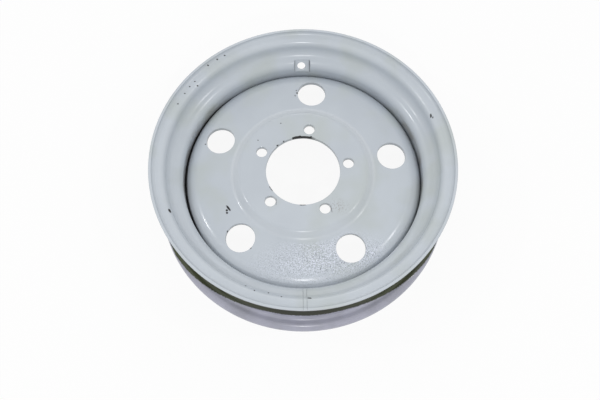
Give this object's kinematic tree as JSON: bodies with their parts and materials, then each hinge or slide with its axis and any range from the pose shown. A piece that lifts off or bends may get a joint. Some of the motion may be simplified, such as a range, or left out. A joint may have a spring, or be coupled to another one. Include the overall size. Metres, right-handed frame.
{
  "type": "tractor wheel rim",
  "caption": "Bare steel tractor wheel: drop-centre rim with curled flanges, welded pressed disc, large centre bore, bolt circle and round vents.",
  "frame": {"origin": "wheel centre: on the spin axis, midway between the two lips", "axes": "+Z along the spin axis towards the outboard face, +Y towards the valve hole; the wheel lies on its inboard lip as it does in the picture, so the spin axis is upright"},
  "size_m": [0.5571, 0.5572, 0.154],
  "materials": {
    "rim_paint": "light grey gloss enamel on the air side, thin olive drab coat in the tyre channel",
    "disc_paint": "light grey gloss enamel with overspray grain, chips and rust flecks",
    "weld_paint": "light grey enamel over weld metal"
  },
  "bodies": {
    "root": {"rim": "rim_paint", "rim_seam_weld": "weld_paint", "wheel_disc": "disc_paint", "disc_weld_1": "weld_paint", "disc_weld_2": "weld_paint", "disc_weld_3": "weld_paint", "disc_weld_4": "weld_paint", "disc_weld_5": "weld_paint"}
  },
  "joints": []
}
